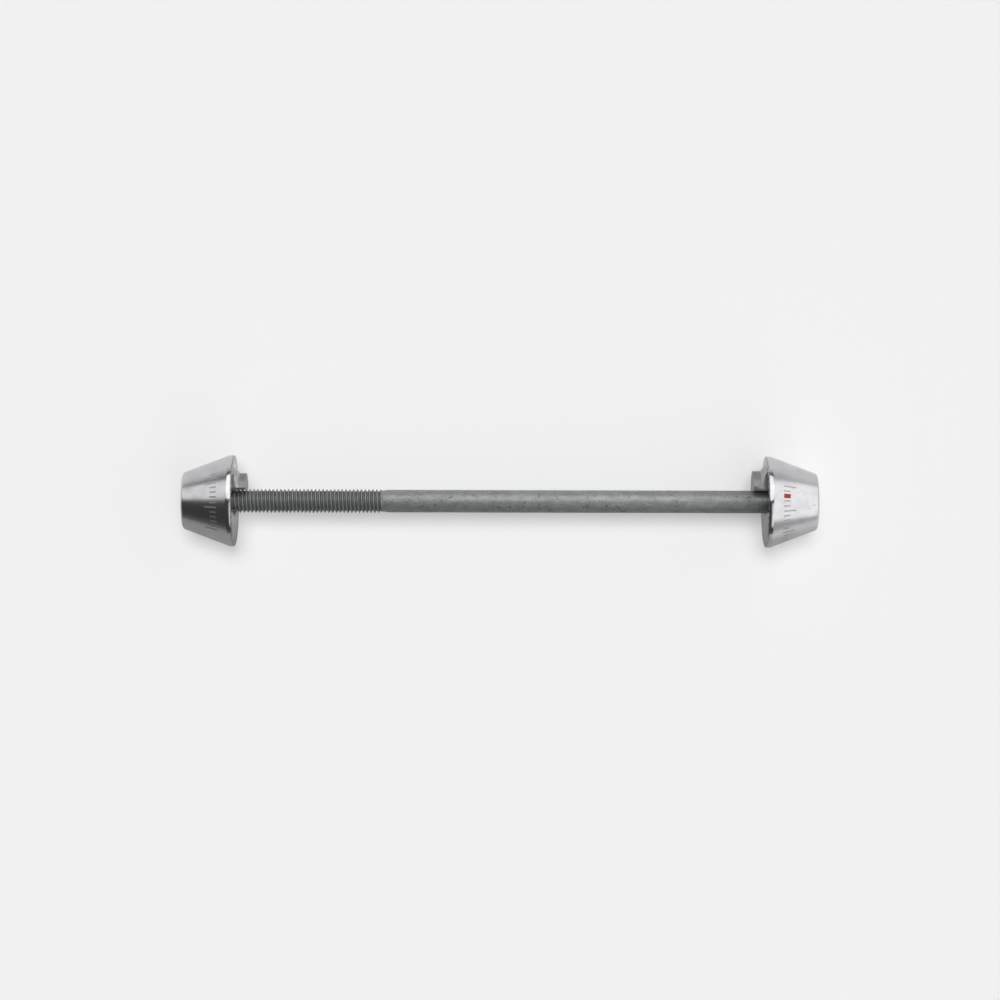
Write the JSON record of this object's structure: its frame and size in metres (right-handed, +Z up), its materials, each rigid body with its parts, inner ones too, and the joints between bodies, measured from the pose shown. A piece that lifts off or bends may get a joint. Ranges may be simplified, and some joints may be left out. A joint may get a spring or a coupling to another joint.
{
  "type": "locking wheel skewer",
  "caption": "Long part-threaded bolt that clamps a bicycle wheel hub between two serrated steel cones: a threaded nut, and a cap that hides the bolt's head.",
  "frame": {"origin": "on the bolt's axis, halfway between the two clamping faces", "axes": "+X along the bolt from the nut to the bolt's head, +Y the way both noses point, +Z up from the floor that the rims lie on"},
  "size_m": [0.132, 0.019, 0.019],
  "materials": {
    "bolt_steel": "dark grey zinc flake coat, mottled, with small dark pits",
    "washer_steel": "plain ground steel",
    "cone_steel": "turned and polished, satin on the clamping faces"
  },
  "bodies": {
    "cap": {"cone_cap": "cone_steel"},
    "washer": {"head_washer": "washer_steel"},
    "bolt": {"axle_bolt": "bolt_steel"},
    "nut": {"cone_nut": "cone_steel"}
  },
  "joints": [
    {"name": "bolt_slide", "type": "slide", "parent": "cap", "child": "washer", "axis": [1, 0, 0], "range_m": [0, 0.077]},
    {"name": "bolt_turn", "type": "hinge", "parent": "washer", "child": "bolt", "pos_m": [0, 0, 0], "axis": [-1, 0, 0], "range_deg": [-3960, 12600]},
    {"name": "nut_travel", "type": "slide", "parent": "washer", "child": "nut", "axis": [1, 0, 0], "range_m": [-0.0088, 0.028]}
  ],
  "couplings": [
    {"joint": "bolt_turn", "follows": "nut_travel", "rad_per_m": 7853.9}
  ]
}
